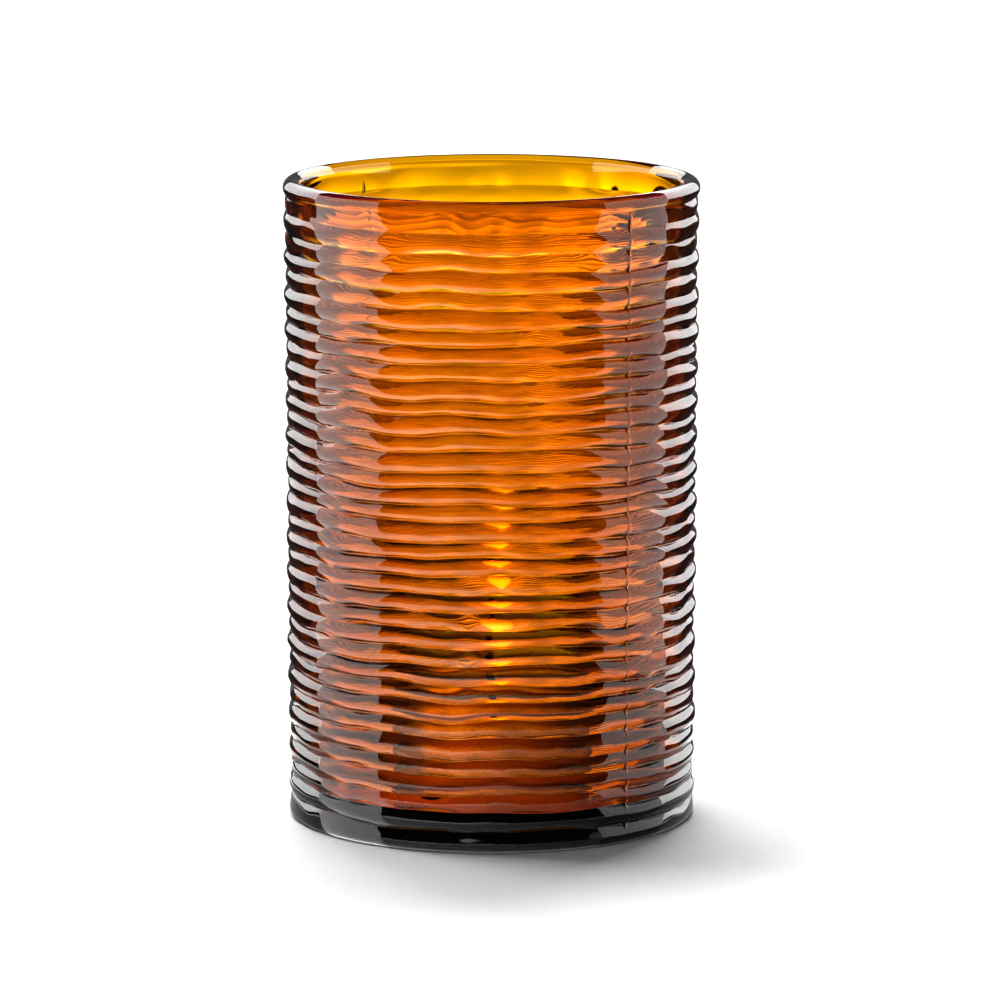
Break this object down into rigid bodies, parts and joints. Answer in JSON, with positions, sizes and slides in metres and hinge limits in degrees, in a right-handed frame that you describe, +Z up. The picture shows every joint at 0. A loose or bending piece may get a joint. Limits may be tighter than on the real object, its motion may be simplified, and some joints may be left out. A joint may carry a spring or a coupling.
{
  "type": "glass candle vase",
  "caption": "Amber glass cylinder vase with stacked wavy rings, a rounded lip and a thick floor, holding a tealight that lifts out.",
  "frame": {"origin": "centre of the vase's underside, on the surface it stands on", "axes": "+Z up along the vase's axis, out of its mouth; the wick's tip leans towards +X"},
  "size_m": [0.078, 0.078, 0.1206],
  "materials": {
    "amber_glass": "fire-polished, clear amber",
    "cup_aluminium": "bright thin sheet",
    "candle_wax": "translucent white wax",
    "tab_steel": "tinned",
    "wick_cotton": "braided, charred at the tip"
  },
  "bodies": {
    "vase": {"vase_glass": "amber_glass"},
    "candle": {"candle_cup": "cup_aluminium", "candle_wax": "candle_wax", "wick_tab": "tab_steel", "wick": "wick_cotton"}
  },
  "joints": [
    {"name": "candle_lift", "type": "slide", "parent": "vase", "child": "candle", "axis": [0, 0, 1], "range_m": [0, 0.125]}
  ]
}
